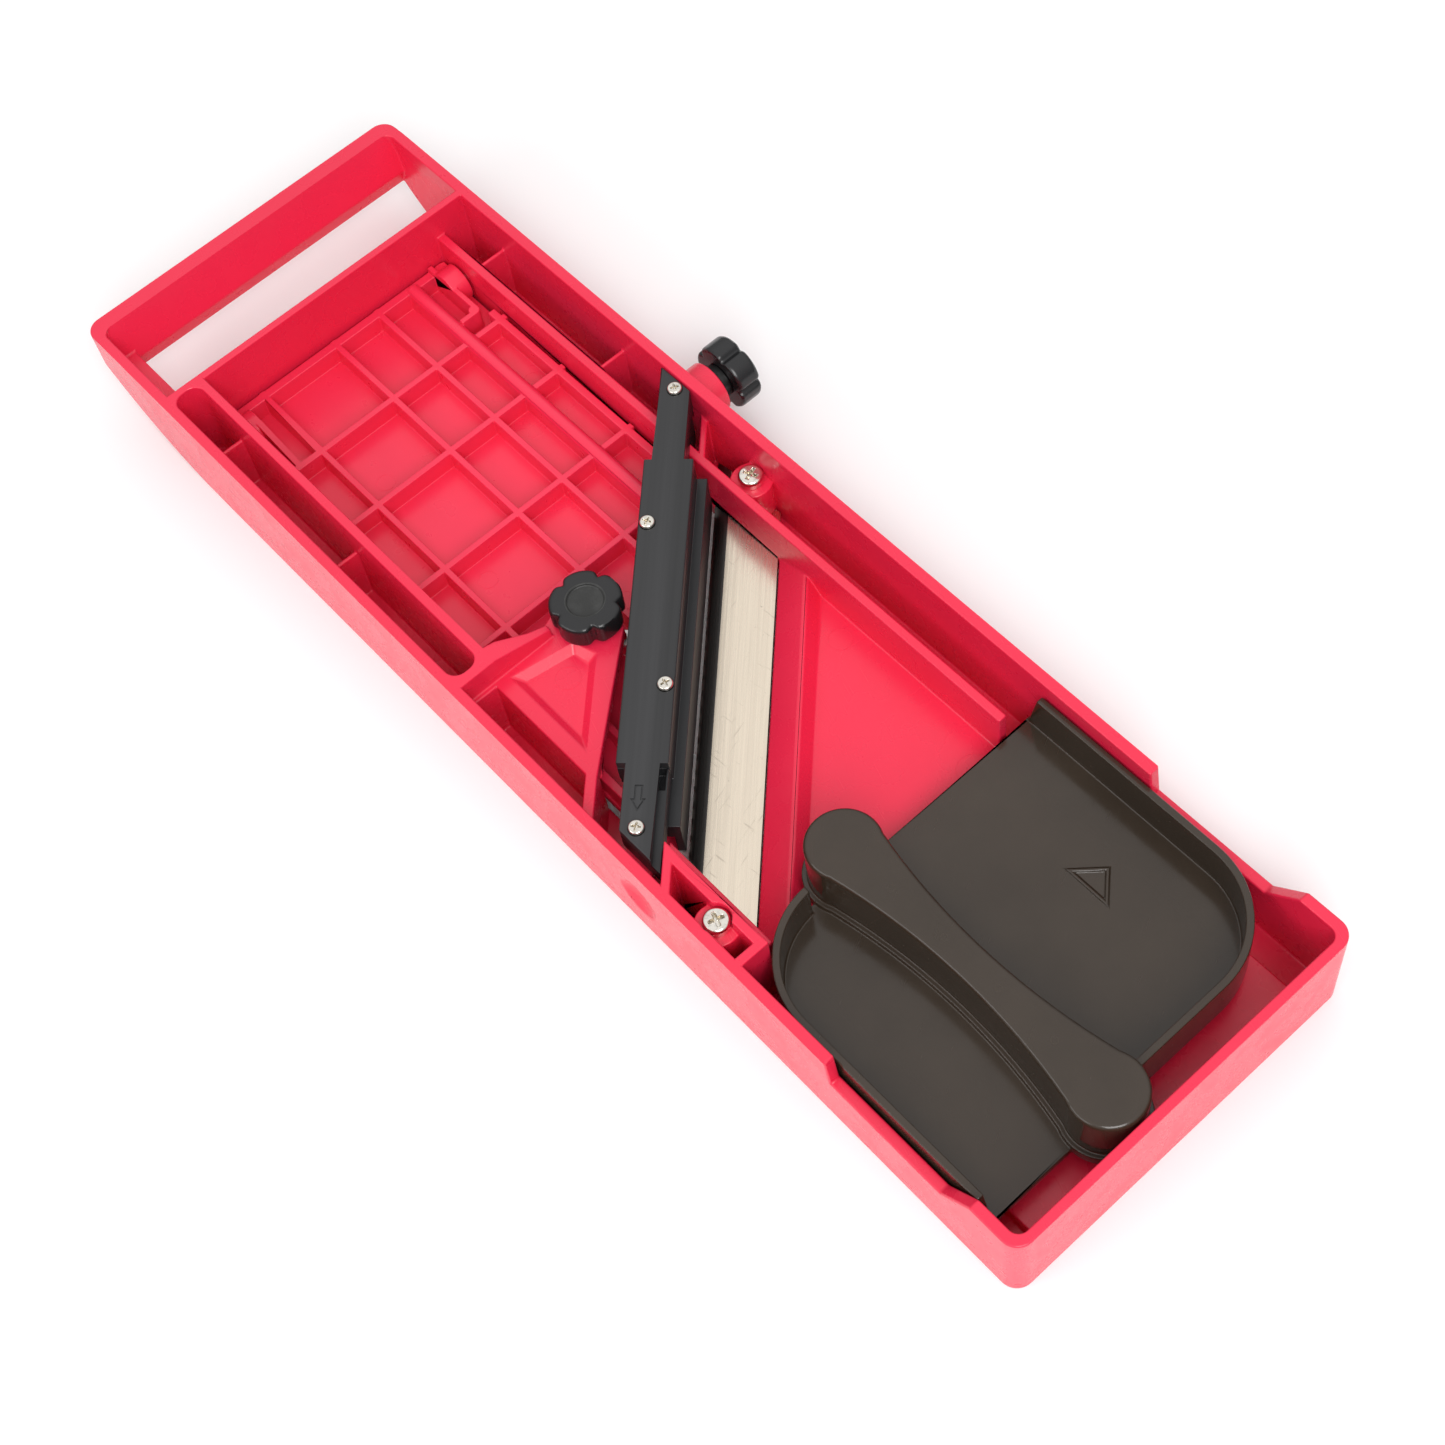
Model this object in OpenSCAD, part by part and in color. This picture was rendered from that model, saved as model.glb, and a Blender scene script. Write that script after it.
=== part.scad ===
// Mandoline slicer lying on its food side, so its hollow underside faces up.
// X runs along the body, from the handle slot to the hand guard's bay.
// +Y is the wall that carries the comb lock knob. Z is up, 0 on the table.

/* [Body] */
// Length of the body
body_l = 312; // [300:1:330]
// Width of the body across its side walls
body_w = 92; // [90:1:98]
// Height of the side walls
body_h = 25.4; // [25.4:0.2:28]
// Thickness of the side walls
wall_t = 2.6; // [2.2:0.1:3]
// Width of the food deck between the two rails
deck_w = 68; // [64:1:68]
// Radius of the sled nose under the handle
nose_r = 70; // [64:1:80]

/* [Blade] */
// Width of the flat blade, edge to back
blade_w = 15.4; // [14:0.1:15.4]
// Thickness of the flat blade
blade_t = 1.4; // [1:0.1:1.4]
// Ground width of the cutting bevel
bevel_w = 3.4; // [2:0.1:4]

/* [Comb] */
// Spacing of the comb teeth
tooth_pitch = 4; // [2:0.5:6]
// Width of each comb tooth at its root
tooth_w = 2.4; // [1.2:0.1:2.4]

/* [Adjusters] */
// Radius of the two lobed knobs over their lobes
knob_r = 8.3; // [7.5:0.1:8.5]
// Number of lobes on each knob
knob_lobes = 5; // [4:1:6]
// Radius of the height and lock screws' threads
thread_r = 2.5; // [2:0.1:2.5]

/* [Guard] */
// Length of the hand guard along the body
guard_l = 72.9; // [72.5:0.1:73]
// Height of the guard's grip above its plate
grip_h = 14; // [12:0.1:14]

/* [Hidden] */
$fn = 48;

eps = 0.01;
far = 400;
pink = [0.87, 0.13, 0.24];
smoke = [0.30, 0.26, 0.22];
black = [0.10, 0.10, 0.11];
steel = [0.80, 0.80, 0.78];
brass = [0.80, 0.64, 0.32];

// Plan limits of the body
end_x = body_l / 2;
side_y = body_w / 2;
corner_r = 4;
in_y = side_y - wall_t;
in_x = end_x - 2.2;
rail_y = deck_w / 2;
rail_t = 2.3;
rail_low = 17.5;
rail_floor = 2.2;

// Food deck: its food face, and the face that shows on the underside
deck_z = 3.6;
deck_top = 5.6;

// Handle end
nose_x = -110;
bar_x = -147.5;
cross_x = -124;
cross_t = 2;
slot_low = -39.2;
slot_high = 40.8;
ledge_top = 19.4;

// Everything diagonal is laid out from the centre as (along, across), turned 45 degrees
edge_s = 9.2;
back_s = edge_s + blade_w;
blade_z = 4;
blade_top = blade_z + blade_t;
blade_y = 42.8;
bolt_s = 18.63;
bolt_y = 40.3;
bolt_r = 1.5;
bolt_head_r = 3;
bolt_head_h = 2.4;
boss_low = 15;
boss_high = 22.2;
insert_r = 2.4;
ridge_s = 31.2;
ridge_z = 9;
box_s = 7;
box_end_x = 78.1;

// Infeed plate, hinged near the handle
plate_x = -121.2;
plate_y = rail_y - 0.6;
plate_edge_s = 6.8;
plate_top = 5.4;
rib_top = 10.4;
rib_t = 1.6;
hinge_x = -114.6;
hinge_z = 8.4;
barrel_r = 4.8;
barrel_y = 30;
hook_x = -101;
pin_r = 1.5;
running = 0.05;

// Height adjuster: a stud through the bridge holds the plate by its foot
knob_x = -10.3;
knob_y = -10.6;
bridge_z = 15.6;
pocket_x = -14.5;
bridge_top = 18.6;
bridge_s = -9.3;
recess_z = 16.9;
fin_x = -11.9;
fin_y = -19.3;
fin_top = 21.2;
bush_r = 4;
boss_r = 6.6;
boss_z = 14.6;
stud_tip_z = 7.3;
foot_r = 3.4;
foot_h = 1.2;
neck_r = 1.9;
clip_z = 8.8;
clip_top = 9.8;
height_knob_z = 19;
knob_h = 6.2;

// Comb lock: a screw through the +Y wall pushes a pad against the holder's foot
lock_x = -40.5;
lock_z = 15;
lock_boss_r = 6.5;
lock_boss_y = 52;
lock_knob_y = 54.6;
pad_r = 2.4;
pad_t = 1.6;
pad_y = 41.5;

// Comb holder
bar_s0 = -4.6;
bar_s1 = 6.6;
tongue_s0 = -2.6;
tongue_s1 = 4.5;
wide_t0 = -37.5;
wide_t1 = 40.1;
bar_z = 17.6;
bar_mid_z = 15.2;
cover_z = 22;
cover_top = 24.4;
bar_tip_hi = 41.4;
bar_tip_lo = -41.2;
strip_s = 7.5;
strip_t = 0.8;
jaw_t0 = wide_t0;
jaw_t1 = wide_t1 + 11;
jaw_s = 8.9;
jaw_z = 12.4;
jaw_top = 17;
skirt_s = 7.1;
skirt_z = 6;
slot_roof = 16;
tooth_z = 1.2;
tooth_root = 5.4;

// Hand guard
guard_x0 = 72.3;
guard_x1 = guard_x0 + guard_l;
guard_y = 42.9;
guard_z = 9.3;
guard_top = 11.2;
lip_t = 1.7;
lip_top = 21.5;
guard_r = 21.6;
runner_y = 31;
runner_z = deck_top + 0.1;
grip_y = -10.8;
grip_x0 = 72.3;
grip_x1 = 144.8;
grip_end_r = 8.3;
grip_waist = 3.9;
grip_wall = 1.9;
grip_flange = 1.2;
grip_roof = guard_top + grip_h - grip_wall;
guard_pin_r = 0.9;
guard_pin_tip = 6.2;

// The lock knob makes +Y reach further, so the body sits off centre by half of that
knob_reach = lock_knob_y + knob_h - side_y;
y_shift = -knob_reach / 2;

module place() { translate([0, y_shift, 0]) children(); }
module diagonal() { rotate([0, 0, -45]) children(); }

// Box between two corners
module span(a, b) { translate(a) cube([for (i = [0:2]) b[i] - a[i]]); }
// Flat shape raised from z0 to z1
module slab(z0, z1) { translate([0, 0, z0]) linear_extrude(z1 - z0) children(); }
module post(r, z0, z1) { translate([0, 0, z0]) cylinder(r = r, h = z1 - z0); }
// Rectangle between two corners
module rect(x0, y0, x1, y1) { translate([x0, y0]) square([x1 - x0, y1 - y0]); }
// Rectangle with round corners, made of exact circles and squares
module round_rect(x0, y0, x1, y1, r) {
  rect(x0 + r, y0, x1 - r, y1);
  rect(x0, y0 + r, x1, y1 - r);
  for (x = [x0 + r, x1 - r], y = [y0 + r, y1 - r]) translate([x, y]) circle(r = r);
}
module along_y(x, z) { translate([x, 0, z]) rotate([-90, 0, 0]) children(); }

// ---- Fasteners ----
module cross_recess(r, depth) {
  for (a = [0, 90]) rotate([0, 0, a]) span([-r, -r * 0.24, -depth], [r, r * 0.24, 1]);
}
// Pan head screw with its head's seat at z = 0
module pan_screw(head_r, head_h, shank_r, shank_l) {
  difference() {
    union() {
      rotate_extrude() intersection() {
        rect(0, 0, head_r, head_h);
        translate([0, head_h - head_r * 1.5]) circle(r = head_r * 1.5);
      }
      post(shank_r, -shank_l, eps);
    }
    translate([0, 0, head_h]) cross_recess(head_r * 0.58, head_h * 0.6);
  }
}

// ---- Body ----
module outline() { round_rect(-end_x, -side_y, end_x, side_y, corner_r); }
module inner_outline() { round_rect(-end_x + 4.4, -in_y, in_x, in_y, 2.4); }

// Side view of what is cut away under the sled nose
module nose_cut() {
  translate([0, far / 2, 0]) rotate([90, 0, 0]) linear_extrude(far) difference() {
    rect(-far, -1, nose_x, nose_r);
    translate([nose_x, nose_r]) circle(r = nose_r, $fn = 160);
  }
}
// Lowered stretch of both side walls beside the guard, with one sloped end
module wall_notch() {
  translate([0, far / 2, 0]) rotate([90, 0, 0]) linear_extrude(far)
    polygon([[104.4, body_h + 1], [105.4, 17], [135.6, 17], [143.7, body_h], [143.7, body_h + 1]]);
}
module side_walls() {
  difference() {
    slab(0, body_h) difference() { outline(); inner_outline(); }
    wall_notch();
  }
}
// Inner wall of the U-shaped rail on one side
module rail(side, x0, x1, top) {
  mirror([0, side < 0 ? 1 : 0, 0]) span([x0, rail_y, 0], [x1, rail_y + rail_t, top]);
}
module rail_floors() {
  for (s = [0, 1]) mirror([0, s, 0]) span([cross_x, rail_y, 0], [in_x + 1, in_y + 1, rail_floor]);
}
// Ledges at both ends of the handle slot: a flat one, and one that slopes up to the wall
module slot_ledges() {
  span([bar_x - 4, -in_y - 1, 0], [cross_x + 1, slot_low, body_h - 8]);
  translate([bar_x - 4, 0, 0]) rotate([90, 0, 90]) linear_extrude(cross_x + 5 - bar_x)
    polygon([[slot_high, 0], [in_y + 1, 0], [in_y + 1, ledge_top], [in_y, ledge_top]]);
}
module deck() {
  slab(deck_z, deck_top) difference() {
    rect(-20, -rail_y - 1, in_x + 1, rail_y + 1);
    diagonal() rect(-far, -far, far, back_s + 0.3);
  }
  // Closed step between the deck and the rails beside the guard's bay
  for (s = [0, 1]) mirror([0, s, 0])
    span([box_end_x - 6, rail_y, 0], [in_x + 1, rail_y + rail_t, deck_top]);
  // Ridge behind the blade
  intersection() {
    diagonal() rotate([90, 0, 90]) translate([0, 0, -far / 2]) linear_extrude(far)
      polygon([[back_s + 0.3, deck_z], [back_s + 0.3, deck_top], [ridge_s, ridge_z],
               [ridge_s + 0.8, ridge_z], [ridge_s + 4.4, deck_z + 0.9], [ridge_s + 4.4, deck_z + 0.5]]);
    span([-far, -rail_y - 1, 0], [far, rail_y + 1, body_h]);
  }
}
module handle_end() {
  // End bar whose inner face slopes towards the slot
  translate([0, in_y + 1, 0]) rotate([90, 0, 0]) linear_extrude(2 * in_y + 2)
    polygon([[-end_x + 1, 0], [bar_x - 3.6, 0], [bar_x, 15.5], [-end_x + 4.4, body_h], [-end_x + 1, body_h]]);
  // Cross wall
  span([cross_x, -in_y - 1, 0], [cross_x + cross_t, in_y + 1, body_h]);
}
module bridge() {
  // Sunk web between the -Y rail, the comb slot and the knob
  web = [[-13, -rail_y - 1], [-13.5, -24], [-17.2, -14], [-12, -4.2], [-2.6, -6.7],
         [bridge_s * sqrt(2) + rail_y + 1, -rail_y - 1]];
  fin = [[-16.5, -rail_y - 1], [fin_x, -rail_y - 1], [fin_x, fin_y], [-13.6, fin_y], [-14.2, -24],
         [-16.5, -31]];
  difference() {
    slab(bridge_z, bridge_top) polygon(web);
    // Shallow recess with sloping sides
    hull() {
      slab(recess_z, bridge_top) polygon([[-8, -30.8], [-5.8, -18.5], [-1.6, -18], [11.3, -30.8]]);
      slab(bridge_top, bridge_top + eps)
        polygon([[-10.2, -32.6], [-7.5, -17.2], [-1.5, -15.5], [15.6, -32.6]]);
    }
  }
  // Sloping fin from the rail's rim towards the knob's boss
  intersection() {
    slab(bridge_z, body_h) polygon(fin);
    translate([-25, 0, 0]) rotate([90, 0, 90]) linear_extrude(20)
      polygon([[-40, bridge_z], [-40, body_h], [-rail_y, body_h], [fin_y, fin_top], [-10, fin_top],
               [-10, bridge_z]]);
  }
  translate([knob_x, knob_y, 0]) post(boss_r, boss_z, bridge_top);
}
// Upright posts under the two blade screws
module blade_bosses() {
  for (p = [[1, boss_low], [-1, boss_high]]) translate([bolt_s * sqrt(2) - p[0] * bolt_y, p[0] * bolt_y, 0]) {
    post(5, blade_top, p[1]);
    post(4.4, 0, blade_z);
  }
}
// Closed box on the -Y side between the comb slot and the guard's bay
module screw_box() {
  difference() {
    slab(0, body_h) difference() {
      rect(20, -in_y - 1, box_end_x, -rail_y - rail_t);
      diagonal() rect(-far, -far, far, box_s);
    }
    slab(rail_floor, body_h + 1) difference() {
      rect(20, -in_y, box_end_x - 2.2, -rail_y - rail_t - 2.4);
      diagonal() rect(-far, -far, far, box_s + 2);
    }
  }
}
// Long open pocket with round corners in the -Y rail
module long_pocket() {
  slab(1, body_h) difference() {
    rect(cross_x + 1, -in_y - 1, fin_x, -rail_y);
    round_rect(cross_x + cross_t, -in_y, pocket_x, -rail_y - rail_t, 3);
  }
}
module cross_ribs() {
  for (x = [-107.4, -62.2]) for (s = [-1, 1])
    span([x - 0.5, s > 0 ? rail_y + 1 : -in_y - 1, 1], [x + 0.5, s > 0 ? in_y + 1 : -rail_y - 1, rail_low - 0.3]);
}
module body_solid() {
  side_walls();
  rail_floors();
  slot_ledges();
  rail(1, cross_x + 1, guard_x0 - 1.1, rail_low);
  long_pocket();
  // Lower stretch of the -Y rail beside the bridge and behind the comb slot
  difference() {
    rail(-1, -14, box_end_x - 2.2, bridge_top);
    slab(rail_floor, far) diagonal() rect(-far, bridge_s, far, box_s);
  }
  // Diagonal rib that closes the narrow pocket beside the bridge
  intersection() {
    slab(rail_floor - 1, bridge_top) diagonal() rect(-far, bridge_s - 2.6, far, bridge_s);
    span([0, -in_y - 1, 0], [far, -rail_y, body_h]);
  }
  intersection() {
    slab(bridge_z, bridge_top) diagonal() rect(-far, bridge_s - 2.6, far, bridge_s);
    span([-2.6, -rail_y - 1, 0], [far, -9, body_h]);
  }
  // Filled stretch between the long pocket and the narrow one
  span([pocket_x + 2, -in_y - 1, rail_floor - 1], [fin_x + 1.3, -rail_y, bridge_top]);
  // Diagonal wall across the +Y rail behind the comb slot
  intersection() {
    slab(rail_floor - 1, rail_low) diagonal() rect(-far, 6.4, far, 8);
    span([-far, rail_y + 1, 0], [far, in_y + 1, body_h]);
  }
  deck();
  handle_end();
  bridge();
  blade_bosses();
  screw_box();
  cross_ribs();
  // Seat for the comb holder's low end
  intersection() {
    slab(0, bar_z - 0.1) diagonal() rect(-far, -2, far, 4);
    span([-far, -in_y - 1, 0], [far, -37.6, body_h]);
  }
  // Boss for the lock screw on the outside of the +Y wall
  translate([0, in_y, 0]) along_y(lock_x, lock_z) cylinder(r = lock_boss_r, h = lock_boss_y - in_y);
}
module body_frame() {
  color(pink) place() difference() {
    body_solid();
    nose_cut();
    // Handle slot
    slab(-1, far) round_rect(bar_x, slot_low, cross_x, slot_high, 2.4);
    // Room for the higher blade screw's head in the box wall
    translate([bolt_s * sqrt(2) + bolt_y, -bolt_y, 0]) post(bolt_head_r + 0.3, boss_high, far);
    // Slits in both rails for the blade
    slab(blade_z - 0.05, blade_top + 0.05) intersection() {
      diagonal() rect(-far, edge_s - 0.1, far, back_s + 0.1);
      rect(-far, -blade_y - 0.2, far, blade_y + 0.2);
    }
    // Screw holes and the brass inserts' bores
    for (p = [1, -1]) translate([bolt_s * sqrt(2) - p * bolt_y, p * bolt_y, 0]) {
      post(bolt_r + 0.2, 2, body_h);
      post(insert_r, 0.8, blade_z);
    }
    translate([knob_x, knob_y, 0]) post(bush_r, boss_z - 1, bridge_top + 1);
    along_y(lock_x, lock_z) translate([0, 0, 45]) cylinder(r = bush_r, h = 20);
    along_y(lock_x, lock_z) translate([0, 0, 40]) cylinder(r = pad_r + 0.4, h = 5.01);
    // Hinge pin bores in both rails' inner walls
    along_y(hinge_x, hinge_z) translate([0, 0, -rail_y - rail_t - 1])
      cylinder(r = pin_r, h = deck_w + 2 * rail_t + 2);
    // Shallow thumb dimple in the outside of the -Y wall
    translate([47, -side_y - 9, 13]) sphere(r = 10.6, $fn = 96);
  }
}

// ---- Infeed plate ----
module plate_outline() {
  difference() {
    rect(plate_x, -plate_y, far, plate_y);
    diagonal() rect(-far, plate_edge_s, far, far);
  }
}
module plate_rib_x(y, t) { span([plate_x, y - t / 2, plate_top - 1], [far, y + t / 2, rib_top]); }
module plate_rib_y(x, t) { span([x - t / 2, -plate_y, plate_top - 1], [x + t / 2, plate_y, rib_top]); }
module infeed_plate() {
  color(pink) place() difference() {
    union() {
      slab(deck_z, plate_top) plate_outline();
      intersection() {
        union() {
          for (y = [-23, -1.3, 12]) plate_rib_x(y, rib_t);
          for (x = [-96.3, -74.1, -48.7, -26.4]) plate_rib_y(x, rib_t);
          plate_rib_y(plate_x + 1.4, 2.4);
          plate_rib_x(31.7, 2);
          plate_rib_x(-31.7, 2);
          // Round-topped spine
          span([plate_x + 1.4, 20.7, plate_top - 1], [far, 24.3, rib_top - 0.8]);
          translate([plate_x + 1.4, 22.5, rib_top - 0.8]) rotate([0, 90, 0]) cylinder(r = 1.8, h = far);
        }
        slab(0, body_h) difference() {
          plate_outline();
          // Ribs stop short of the slicing gap and leave room for the stud's pad
          diagonal() rect(-far, -1.5, far, far);
          translate([knob_x, knob_y]) circle(r = 7.5);
          rect(plate_x + 2.6, barrel_y, hook_x + 1, plate_y + 1);
        }
      }
      // Diagonal end rib
      slab(plate_top - 1, rib_top) intersection() {
        plate_outline();
        diagonal() rect(-far, -3, far, -1.4);
      }
      // Hinge barrels
      for (s = [0, 1]) mirror([0, s, 0]) translate([0, barrel_y - 1.4, 0]) along_y(hinge_x, hinge_z)
        cylinder(r = barrel_r, h = plate_y - barrel_y + 1.4);
      // Hooked wall beside the +Y barrel, joined to the spine
      slab(plate_top - 1, 11.6) {
        rect(plate_x, barrel_y - 1.4, hook_x - 1.4, barrel_y);
        rect(hook_x - 1.4, 24, hook_x, barrel_y - 1.4);
        translate([hook_x - 1.4, barrel_y - 1.4]) circle(r = 1.4);
      }
      // Long web that tapers away from the -Y barrel
      translate([0, -barrel_y + 1.4, 0]) rotate([90, 0, 0]) linear_extrude(1.4)
        polygon([[hinge_x - 2, plate_top - 1], [hinge_x - 2, hinge_z + 4], [hinge_x + 1.6, hinge_z + 4.4],
                 [-97, rib_top], [-97, plate_top - 1]]);
      // Pad and two posts that hold the stud's foot
      translate([knob_x, knob_y, 0]) {
        post(foot_r + 2.4, plate_top - 1, 7);
        for (a = [45, 225]) rotate([0, 0, a]) translate([foot_r + 2.5, 0, 0]) post(1.9, plate_top - 1, clip_z);
      }
    }
    for (s = [0, 1]) mirror([0, s, 0]) translate([0, barrel_y, 0]) along_y(hinge_x, hinge_z)
      cylinder(r = pin_r + running, h = rail_y - barrel_y);
    translate([knob_x, knob_y, 0]) for (a = [45, 225]) rotate([0, 0, a]) translate([foot_r + 2.5, 0, 0])
      post(0.8, plate_top, clip_z + 1);
  }
}
module hinge_pins() {
  color(steel) place() for (s = [0, 1]) mirror([0, s, 0]) translate([0, barrel_y + 0.2, 0])
    along_y(hinge_x, hinge_z) cylinder(r = pin_r, h = rail_y + rail_t - barrel_y - 0.2);
}

// ---- Blade ----
module main_blade() {
  color(steel) place() difference() {
    intersection() {
      diagonal() rotate([90, 0, 90]) translate([0, 0, -80]) linear_extrude(160)
        polygon([[edge_s, blade_z], [back_s, blade_z], [back_s, blade_top], [edge_s + bevel_w, blade_top],
                 [edge_s, blade_z + 0.15]]);
      span([-far, -blade_y, 0], [far, blade_y, body_h]);
    }
    for (p = [1, -1]) translate([bolt_s * sqrt(2) - p * bolt_y, p * bolt_y, 0]) post(bolt_r + 0.15, 0, body_h);
  }
}
module blade_screws() {
  color(steel) place() {
    translate([bolt_s * sqrt(2) - bolt_y, bolt_y, boss_low]) rotate([0, 0, 20])
      pan_screw(bolt_head_r, bolt_head_h, bolt_r, boss_low - 1.4);
    translate([bolt_s * sqrt(2) + bolt_y, -bolt_y, boss_high]) rotate([0, 0, -32])
      pan_screw(bolt_head_r, bolt_head_h, bolt_r, boss_high - 1.4);
  }
}
module blade_inserts() {
  color(brass) place() for (p = [1, -1]) translate([bolt_s * sqrt(2) - p * bolt_y, p * bolt_y, 0]) difference() {
    post(insert_r, 0.8, blade_z - 0.1);
    post(bolt_r, 0, body_h);
  }
}

// ---- Comb ----
// Plan of the holder: a wide middle with a narrower tongue at each end, cut parallel to the walls
module comb_plan(low_s1) {
  intersection() {
    diagonal() {
      rect(-80, tongue_s0, wide_t1, tongue_s1);
      rect(wide_t0, bar_s0, wide_t1, bar_s1);
      rect(wide_t1 - 1, tongue_s0, 80, low_s1);
    }
    rect(-far, bar_tip_lo, far, in_y - 0.2);
  }
}
module comb_points() {
  for (p = [[-57.1, 1], [-20.3, -2.5], [21.1, 4.5], [55.3, 1]])
    diagonal() translate([p[0], p[1], 0]) rotate([0, 0, p[0] * 3]) children();
}
module comb_holder() {
  color(black) place() difference() {
    union() {
      slab(bar_z, cover_z) comb_plan(bar_s1 - 0.2);
      slab(bar_mid_z, bar_z + 1) diagonal() rect(wide_t0 + 0.4, bar_s0, wide_t1 - 0.4, bar_s1);
      // Jaw that grips the toothed strip
      slab(jaw_z, jaw_top) diagonal() rect(jaw_t0, bar_s1 - 1, jaw_t1, jaw_s);
      slab(skirt_z, jaw_z + 1) diagonal() rect(jaw_t0, skirt_s, jaw_t1, jaw_s);
      // Foot that the lock pad presses on
      slab(10, bar_z + 1) intersection() {
        diagonal() rect(-80, tongue_s0, 0, tongue_s1);
        rect(-far, rail_y + rail_t + 0.5, far, bar_tip_hi);
      }
    }
    // Dark pocket beside the low tongue
    slab(cover_z - 3, body_h) diagonal() rect(wide_t1, tongue_s1 - 0.6, wide_t1 + 5, bar_s1 - 0.8);
    slab(skirt_z - 1, slot_roof) diagonal() rect(jaw_t0 + 0.6, strip_s, jaw_t1 - 0.6, strip_s + strip_t);
    comb_points() post(0.9, cover_z - 3.2, body_h);
  }
}
module comb_cover() {
  color(black) place() difference() {
    slab(cover_z, cover_top) comb_plan(tongue_s1);
    comb_points() post(1.05, 0, body_h);
    comb_points() post(1.9, cover_top - 0.4, body_h);
    // Arrow outline sunk into the low tongue
    slab(cover_top - 0.3, body_h) diagonal() difference() {
      polygon([[45.2, -0.1], [48.4, -0.1], [48.4, -0.85], [51.4, 0.8], [48.4, 2.45], [48.4, 1.7], [45.2, 1.7]]);
      polygon([[45.6, 0.3], [48.8, 0.3], [48.8, -0.18], [50.6, 0.8], [48.8, 1.78], [48.8, 1.3], [45.6, 1.3]]);
    }
  }
}
module comb_blade() {
  t0 = jaw_t0 + 0.8;
  t1 = jaw_t1 - 0.8;
  n = floor((t1 - t0 - tooth_w) / tooth_pitch);
  color(steel) place() diagonal() translate([0, strip_s + strip_t - 0.05, 0]) rotate([90, 0, 0])
    linear_extrude(strip_t - 0.1) union() {
      rect(t0, tooth_root, t1, slot_roof - 0.2);
      for (i = [0:n]) {
        x = t0 + i * tooth_pitch;
        polygon([[x, tooth_root + eps], [x, tooth_z + 1.6], [x + tooth_w * 0.5, tooth_z],
                 [x + tooth_w, tooth_z + 1.6], [x + tooth_w, tooth_root + eps]]);
      }
    }
}
module comb_screws() {
  color(steel) place() comb_points() translate([0, 0, cover_top - 0.4]) pan_screw(1.75, 1.3, 0.9, 5);
}

// ---- Knobs ----
// Lobed disc with a dished crown, seat at z = 0
module lobed_knob(turn) {
  rotate([0, 0, turn]) difference() {
    union() {
      post(knob_r * 0.74, 0, knob_h);
      for (i = [0:knob_lobes - 1]) rotate([0, 0, i * 360 / knob_lobes])
        translate([knob_r * 0.6, 0, 0]) post(knob_r * 0.4, 0, knob_h);
      for (i = [0:knob_lobes - 1]) rotate([0, 0, (i + 0.5) * 360 / knob_lobes])
        translate([knob_r * 0.55, 0, 0]) post(knob_r * 0.3, 0, knob_h);
    }
    translate([0, 0, knob_h + 13]) sphere(r = 14.2, $fn = 64);
  }
}
module height_knob() {
  color(black) place() translate([knob_x, knob_y, height_knob_z]) difference() {
    lobed_knob(8);
    post(thread_r, -1, 4);
  }
}
module height_stud() {
  color(steel) place() translate([knob_x, knob_y, 0]) {
    post(foot_r, stud_tip_z, stud_tip_z + foot_h);
    post(neck_r, stud_tip_z, clip_top + 1);
    post(thread_r, clip_top + 0.9, height_knob_z + 4);
  }
}
module height_bush() {
  color(brass) place() translate([knob_x, knob_y, 0]) difference() {
    post(bush_r, boss_z, bridge_top);
    post(thread_r + running, 0, body_h);
  }
}
module height_clip() {
  color(steel) place() translate([knob_x, knob_y, 0]) rotate([0, 0, 45]) difference() {
    slab(clip_z, clip_top) {
      circle(r = foot_r + 1.2);
      rect(-foot_r - 4.2, -2, foot_r + 4.2, 2);
    }
    post(neck_r + 0.5, 0, body_h);
    span([-neck_r - 0.5, -9, 0], [neck_r + 0.5, 0, body_h]);
    for (x = [-1, 1]) translate([x * (foot_r + 2.5), 0, 0]) post(0.95, 0, body_h);
  }
}
module clip_screws() {
  color(steel) place() translate([knob_x, knob_y, clip_top]) rotate([0, 0, 45])
    for (x = [-1, 1]) translate([x * (foot_r + 2.5), 0, 0]) pan_screw(1.5, 1.1, 0.8, 3.6);
}
module thrust_washer() {
  color(brass) place() translate([knob_x, knob_y, 0]) difference() {
    post(foot_r - 0.4, clip_top + 0.2, clip_top + 0.8);
    post(neck_r + running, 0, body_h);
  }
}
module lock_knob() {
  color(black) place() along_y(lock_x, lock_z) translate([0, 0, lock_knob_y]) difference() {
    lobed_knob(30);
    post(thread_r, -1, 4);
  }
}
module lock_stud() {
  color(black) place() along_y(lock_x, lock_z) {
    post(1.5, pad_y + 0.9, pad_y + pad_t + 1);
    post(thread_r, pad_y + pad_t + 0.2, lock_knob_y + 4);
    post(4.2, lock_boss_y + 0.6, lock_knob_y);
  }
}
module lock_bush() {
  color(brass) place() along_y(lock_x, lock_z) difference() {
    post(bush_r, 45.01, lock_boss_y);
    post(thread_r + running, 0, far);
  }
}
module lock_pad() {
  color(steel) place() along_y(lock_x, lock_z) difference() {
    post(pad_r, pad_y, pad_y + pad_t);
    post(1.5 + running, pad_y + 0.8, far);
  }
}

// ---- Hand guard ----
// Plate with two opposite round corners
module guard_outline(inset) {
  x0 = guard_x0 + inset;
  x1 = guard_x1 - inset;
  y0 = -guard_y + inset;
  y1 = guard_y - inset;
  r = guard_r - inset;
  rect(x0 + r, y0, x1, y0 + r + eps);
  rect(x0, y0 + r, x1, y1 - r);
  rect(x0, y1 - r - eps, x1 - r, y1);
  translate([x0 + r, y0 + r]) circle(r = r, $fn = 96);
  translate([x1 - r, y1 - r]) circle(r = r, $fn = 96);
}
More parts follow.
